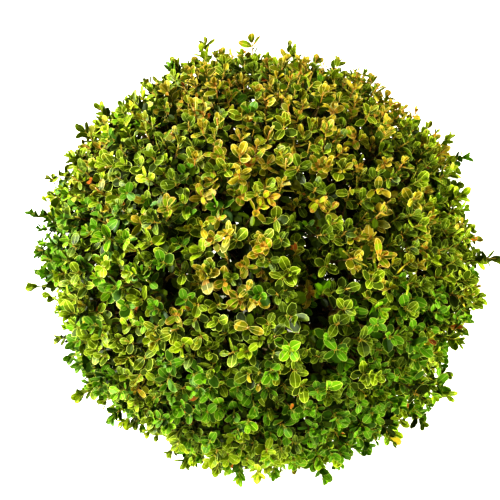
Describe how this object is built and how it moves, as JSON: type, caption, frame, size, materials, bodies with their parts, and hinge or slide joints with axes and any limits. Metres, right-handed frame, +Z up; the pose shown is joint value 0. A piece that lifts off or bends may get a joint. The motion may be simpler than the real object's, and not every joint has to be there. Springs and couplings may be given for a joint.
{
  "type": "box topiary ball",
  "caption": "Common box shrub clipped to a dense, slightly uneven leafy ball, open underneath round one short flared stem with spreading boughs.",
  "frame": {"origin": "middle of the flat cut under the stem, at ground level", "axes": "+Z up the stem, -Y towards the front of the ball, +X to its right seen from the front"},
  "size_m": [0.502, 0.4851, 0.4677],
  "materials": {
    "stem_bark": "rough, finely fissured bark",
    "bough_bark": "smooth to lightly ridged young bark",
    "leaves": "satin, waxy small leaves, some glossy"
  },
  "bodies": {
    "root": {"stem": "stem_bark", "bough_leader": "bough_bark", "bough_upper_1": "bough_bark", "bough_upper_2": "bough_bark", "bough_upper_3": "bough_bark", "bough_lower_1": "bough_bark", "bough_lower_2": "bough_bark", "bough_lower_3": "bough_bark", "bough_lower_4": "bough_bark", "foliage_ball": "leaves"}
  },
  "joints": []
}
